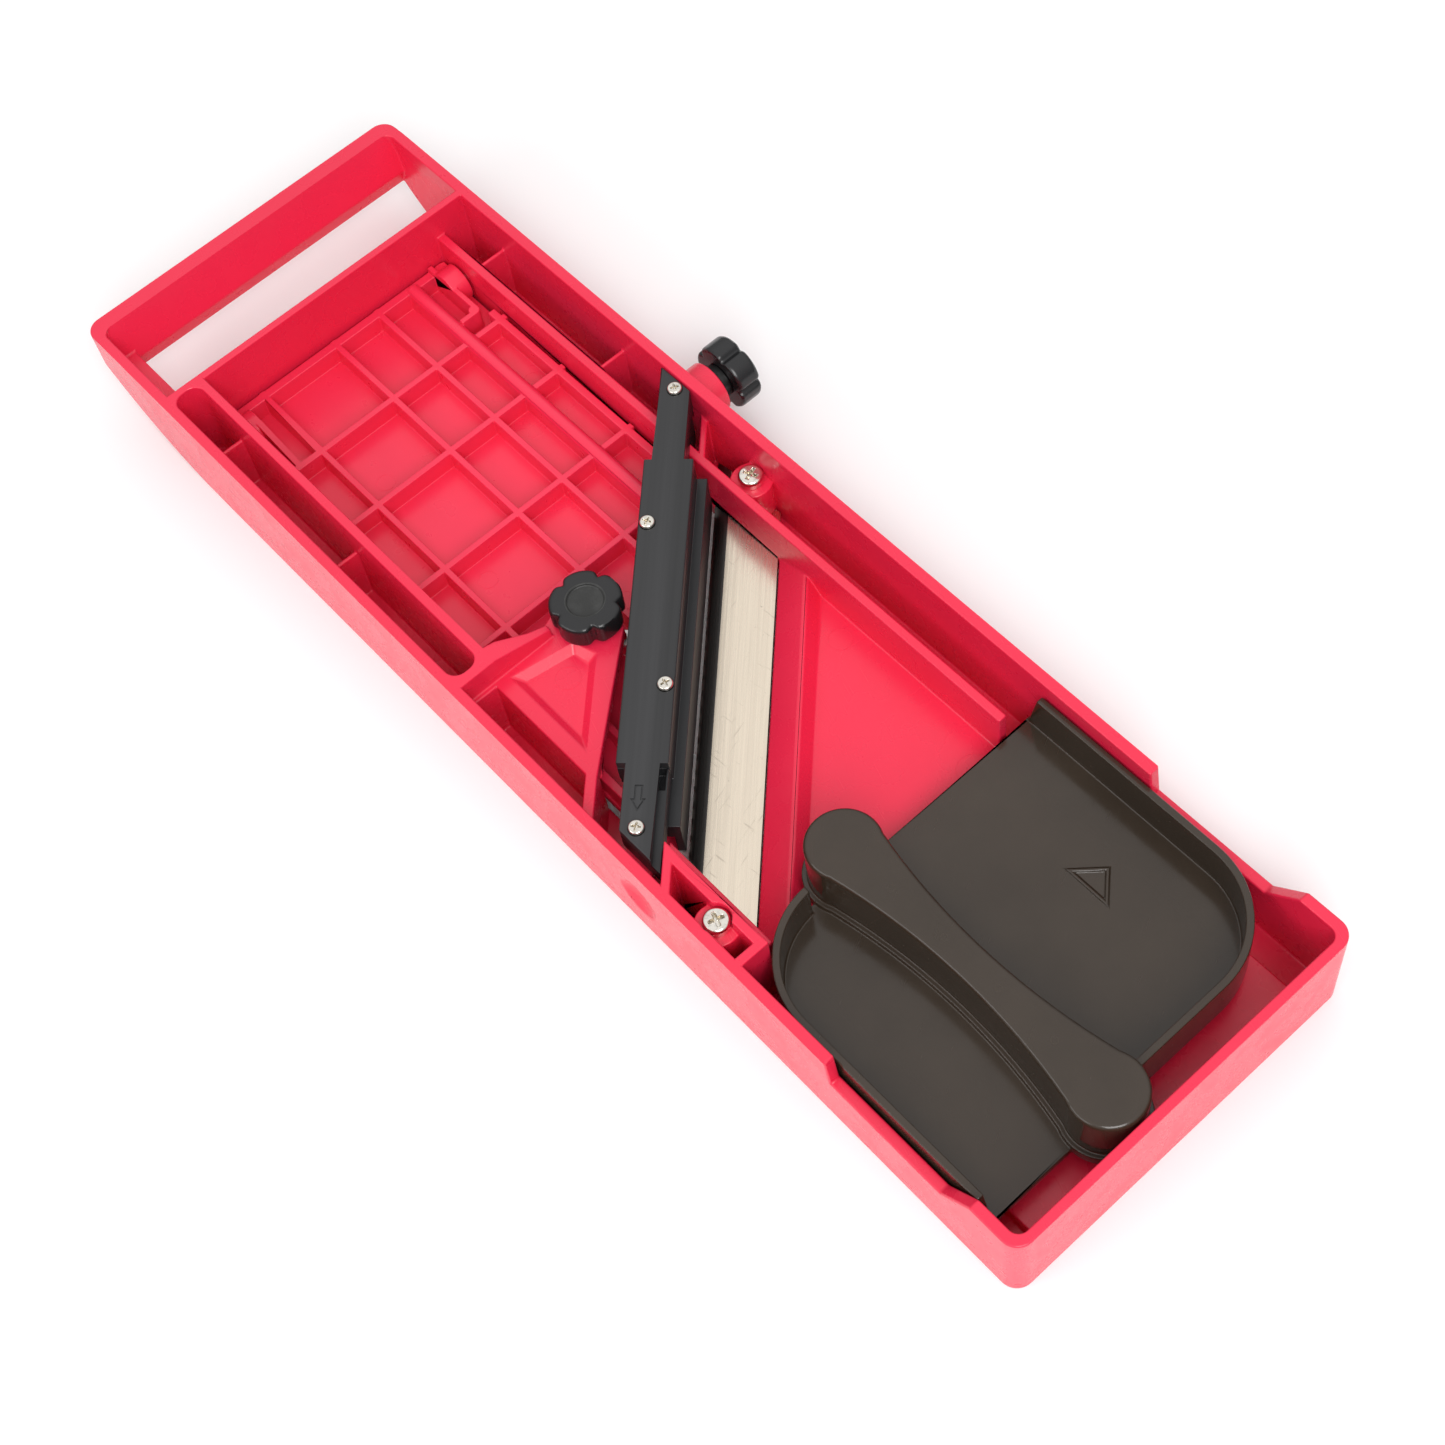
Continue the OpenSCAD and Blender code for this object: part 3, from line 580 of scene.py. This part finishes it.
# ---- Screws ----
def loose_parts(node):
    """The box of each separate solid in a CAD node."""
    mesh_builder = bmesh.new()
    mesh_builder.from_mesh(NODES[node].data)
    bmesh.ops.remove_doubles(mesh_builder, verts=mesh_builder.verts, dist=WELD)
    waiting = set(mesh_builder.verts)
    boxes = []
    while waiting:
        start = min(waiting, key=lambda v: v.index)
        waiting.discard(start)
        group, to_follow = [start], [start]
        while to_follow:
            for edge in to_follow.pop().link_edges:
                for vertex in edge.verts:
                    if vertex in waiting:
                        waiting.discard(vertex)
                        group.append(vertex)
                        to_follow.append(vertex)
        boxes.append((Vector([min(v.co[i] for v in group) for i in range(3)]),
                      Vector([max(v.co[i] for v in group) for i in range(3)])))
    mesh_builder.free()
    return boxes


# Where a thread's crest starts and ends, as shares of the pitch
CREST_FROM, CREST_TO = 0.4, 0.55
# The cross recess: its reach as a share of the head's radius, and the rest as shares of that reach
CROSS_REACH, CROSS_HALF_WIDTH, CROSS_SIDE_SLOPE, CROSS_END_SLOPE = 0.6, 0.24, 0.12, 0.45
CROSS_DEPTH, BOWL_AREA, BOWL_SHARE = 0.8, 0.16, 0.9
# The pan head: the shank's radius and the flat top's radius as shares of the head's radius
SHANK_SHARE, ROOT_SHARE, CROWN_SHARE = 0.5, 0.84, 0.74
DOME_SHARE, SEAT_SHARE, DOME_FALL = 0.5, 0.93, 0.92     # of the head's height, radius and dome
PLAIN_TIP, TOP_FALL = 0.6, 0.02                         # in millimetres
SCREW_STEPS = 96
DOME_ROWS, TOP_ROWS = 8, 16


def recess_depth(x, y, reach):
    """Depth of a cross recess at a place on the head, with sloping ends, in millimetres."""
    depth = 0.0
    for u, v in ((x, y), (y, x)):
        side = ramp((reach * CROSS_HALF_WIDTH - abs(v)) / (reach * CROSS_SIDE_SLOPE))
        end = ramp((reach - abs(u)) / (reach * CROSS_END_SLOPE))
        depth = max(depth, side * end)
    bowl = max(0.0, 1.0 - (x * x + y * y) / (reach * reach * BOWL_AREA))
    return max(depth, bowl * BOWL_SHARE) * reach * CROSS_DEPTH


def add_screw(mesh_builder, low, high, head_h, turn, pitch):
    """Pan head with a cross recess on a threaded shank, from the box of the CAD screw."""
    centre = (low + high) / 2
    head_r = (high.x - low.x) * 500
    top, foot = high.z, low.z
    shank_r = head_r * SHANK_SHARE
    root_r = shank_r * ROOT_SHARE
    rows = []

    def add_row(radius, height, recessed=False):
        row = []
        for step in range(SCREW_STEPS):
            around = 2 * pi * step / SCREW_STEPS
            x, y = radius * cos(around), radius * sin(around)
            z = height
            if recessed:
                z -= recess_depth(radius * cos(around - turn), radius * sin(around - turn),
                                  head_r * CROSS_REACH)
            row.append(mesh_builder.verts.new((centre.x + mm(x), centre.y + mm(y), top + mm(z))))
        rows.append(row)

    dome = head_h * DOME_SHARE
    length = (top - foot) * 1000
    add_row(0.05, -length)
    add_row(shank_r * 0.5, -length)
    depth = -length + PLAIN_TIP
    while depth < -head_h - pitch:
        add_row(root_r, depth)
        add_row(shank_r, depth + pitch * CREST_FROM)
        add_row(shank_r, depth + pitch * CREST_TO)
        depth += pitch
    add_row(root_r, -head_h)
    add_row(head_r * SEAT_SHARE, -head_h)
    add_row(head_r, -head_h * SEAT_SHARE)
    add_row(head_r, -dome * 1.05)
    for k in range(1, DOME_ROWS + 1):
        angle = pi / 2 * k / (DOME_ROWS + 1)
        add_row(head_r * (CROWN_SHARE + (1 - CROWN_SHARE) * cos(angle)),
                -dome * (1 - sin(angle)) * DOME_FALL - TOP_FALL)
    for k in range(TOP_ROWS):
        share = CROWN_SHARE * (1 - k / (TOP_ROWS + 0.5))
        add_row(head_r * share, -TOP_FALL * share, True)
    skin_rows(mesh_builder, rows)
    mesh_builder.faces.new(rows[0][::-1])
    mesh_builder.faces.new(rows[-1])


SCREW_SETS = [
    # CAD node, piece, body, head height and thread pitch in millimetres, first turn
    ("blade_screws", "blade_screw_pair", "frame", 2.4, 0.7, 0.35),
    ("comb_screws", "comb_screw_set", "comb", 1.3, 0.45, 1.1),
    ("clip_screws", "clip_screw_pair", "plate", 1.1, 0.4, 0.2),
]


def make_screws():
    for node, name, body, head_h, pitch, turn in SCREW_SETS:
        mesh_builder = bmesh.new()
        for index, (low, high) in enumerate(loose_parts(node)):
            add_screw(mesh_builder, low, high, head_h, turn + 0.9 * index, pitch)
        bmesh.ops.recalc_face_normals(mesh_builder, faces=mesh_builder.faces)
        finish_piece(object_from(name, mesh_builder), body, "screw_steel", [node])


# ---- Studs ----
STUD_STEPS = 64
STUD_PITCH = 0.8
THREAD_DEPTH = 0.42
THREAD_WEAR = 0.03     # how far a crest stays inside the stud's full radius


def thread(start, end, crest):
    """Rows of a thread's flanks as (radius, height) in millimetres."""
    root, top = crest - THREAD_DEPTH, crest - THREAD_WEAR
    rows = []
    height = start
    while height < end - STUD_PITCH:
        rows += [(root, height), (top, height + STUD_PITCH * CREST_FROM),
                 (top, height + STUD_PITCH * CREST_TO)]
        height += STUD_PITCH
    return rows + [(root, end)]


# From the foot to the knob's end: (radius, height) in millimetres
HEIGHT_STUD = [(0.05, 0.0), (3.22, 0.0), (3.4, 0.18), (3.4, 1.02), (3.22, 1.2), (1.9, 1.22), (1.9, 3.4),
               *thread(3.5, 15.3, 2.5), (1.9, 15.7), (0.05, 15.7)]
LOCK_STUD = [(0.05, 0.0), (1.35, 0.0), (1.5, 0.15), (1.5, 0.9), *thread(0.95, 10.1, 2.5),
             (4.0, 10.2), (4.2, 10.4), (4.2, 12.0), (4.0, 12.2), (2.4, 12.22), (2.4, 16.1), (0.05, 16.2)]


def make_stud(name, node, body, slot, profile, upright):
    """A turned stud with a cut thread, from its foot's end along Z or Y."""
    mesh_builder = bmesh.new()
    rows = [turned_row(mesh_builder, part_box(node), upright, [radius] * STUD_STEPS, height)
            for radius, height in profile]
    skin_rows(mesh_builder, rows)
    mesh_builder.faces.new(rows[0][::-1])
    mesh_builder.faces.new(rows[-1])
    bmesh.ops.recalc_face_normals(mesh_builder, faces=mesh_builder.faces)
    finish_piece(object_from(name, mesh_builder), body, slot, [node])


def make_studs():
    make_stud("height_stud_threaded", "height_stud", "height_turn", "stud_steel", HEIGHT_STUD, True)
    make_stud("lock_stud_threaded", "lock_stud", "lock_turn", "stud_black", LOCK_STUD, False)


# ---- Blade ----
# Faces whose normal's Z lies in this range are the bevel, which takes the painted dark reflection
BEVEL_NORMAL_Z = (0.5, 0.985)


def make_blade():
    """The ground blade: its cutting bevel, picked by face angle, takes much darker steel than the flat as a
    painted dark reflection.
    """
    piece = rounded_copy("main_blade", "slicing_blade", mm(0.04))
    steepest, flattest = BEVEL_NORMAL_Z
    for polygon in piece.data.polygons:
        if steepest < polygon.normal.z < flattest:
            polygon.material_index = 1
    finish_piece(piece, "frame", "blade_steel", ["main_blade"], ["blade_steel", "blade_bevel_dark_reflection"])


SIMPLE_PIECES = [
    # CAD node, piece, body, slot, edge radius in millimetres
    ("infeed_plate", "infeed_plate_ribbed", "plate", "plate_plastic", 0.3),
    ("hinge_pins", "hinge_pin_pair", "frame", "pin_steel", 0.15),
    ("blade_inserts", "blade_insert_pair", "frame", "insert_brass", 0.12),
    ("comb_holder", "comb_holder_base", "comb", "holder_plastic", 0.22),
    ("comb_blade", "comb_strip", "comb", "comb_steel", 0.05),
    ("height_bush", "height_bush_turned", "frame", "insert_brass", 0.12),
    ("height_clip", "height_clip_pressed", "plate", "clip_steel", 0.1),
    ("thrust_washer", "thrust_washer_turned", "height_feed", "insert_brass", 0.08),
    ("lock_bush", "lock_bush_turned", "frame", "insert_brass", 0.12),
    ("lock_pad", "lock_pad_turned", "lock_feed", "stud_steel", 0.1),
    ("guard_pins", "guard_pin_set", "guard", "pin_steel", 0.1),
]


def make_simple_pieces():
    for node, name, body, slot, radius in SIMPLE_PIECES:
        finish_piece(rounded_copy(node, name, mm(radius)), body, slot, [node])


# ---- Camera, floor and lights ----
def make_camera():
    """A long lens from above the guard's end, turned a little about its own axis."""
    eye = mm(249.07, -148.18, 448.64)
    target = mm(31.44, -15.38, 20.0)
    forward = (target - eye).normalized()
    right = forward.cross(Vector((0, 0, 1))).normalized()
    up = right.cross(forward)
    roll = radians(-11.792)
    across = right * cos(roll) + up * sin(roll)
    upward = up * cos(roll) - right * sin(roll)
    data = bpy.data.cameras.new("camera")
    data.sensor_width = 36.0
    data.lens = 59.06
    data.clip_start = 0.01
    camera = bpy.data.objects.new("camera", data)
    camera.matrix_world = Matrix.Translation(eye) @ Matrix((across, upward, -forward)).transposed().to_4x4()
    SCENE.collection.objects.link(camera)
    SCENE.camera = camera


def make_floor():
    mesh = bpy.data.meshes.new("floor")
    half = 3.0
    corners = [(-half, -half, 0), (half, -half, 0), (half, half, 0), (-half, half, 0)]
    mesh.from_pydata(corners, [], [(0, 1, 2, 3)])
    floor = bpy.data.objects.new("floor", mesh)
    material, tree, shader = new_material("floor_white")
    tint = spread(tree, noise_of(tree, 2.0), 0.9, 0.93)
    combined = tree.nodes.new("ShaderNodeCombineColor")
    for socket in combined.inputs:
        tree.links.new(tint, socket)
    tree.links.new(combined.outputs["Color"], shader.inputs["Base Color"])
    shader.inputs["Roughness"].default_value = 0.8
    mesh.materials.append(material)
    SCENE.collection.objects.link(floor)


def add_softbox(name, place, size, power):
    """A rectangular lamp that faces the origin."""
    data = bpy.data.lights.new(name, "AREA")
    data.shape = "RECTANGLE"
    data.size, data.size_y = size
    data.energy = power
    lamp = bpy.data.objects.new(name, data)
    lamp.location = place
    lamp.rotation_mode = "QUATERNION"
    lamp.rotation_quaternion = (-Vector(place)).to_track_quat("-Z", "Y")
    SCENE.collection.objects.link(lamp)


def make_lights():
    world = bpy.data.worlds.new("studio")
    SCENE.world = world
    world.use_nodes = True
    tree = world.node_tree
    background = tree.nodes["Background"]
    direction = tree.nodes.new("ShaderNodeTexCoord")
    split = tree.nodes.new("ShaderNodeSeparateXYZ")
    tree.links.new(direction.outputs["Generated"], split.inputs["Vector"])
    level = tree.nodes.new("ShaderNodeMapRange")
    level.inputs["From Min"].default_value = 0.0
    level.inputs["From Max"].default_value = 0.8
    level.inputs["To Min"].default_value = 0.22
    level.inputs["To Max"].default_value = 1.0
    background.inputs["Color"].default_value = (1.0, 1.0, 1.0, 1.0)
    tree.links.new(split.outputs["Z"], level.inputs["Value"])
    tree.links.new(level.outputs["Result"], background.inputs["Strength"])
    add_softbox("key", (0.75, -0.35, 0.85), (0.6, 0.6), 7.5)
    add_softbox("fill", (-0.1, -0.95, 0.6), (0.9, 0.4), 2.5)
    SCENE.view_settings.view_transform = "Standard"


make_camera()
make_floor()
make_lights()
make_body()
make_knobs()
make_guard()
make_cover()
make_screws()
make_studs()
make_blade()
make_simple_pieces()
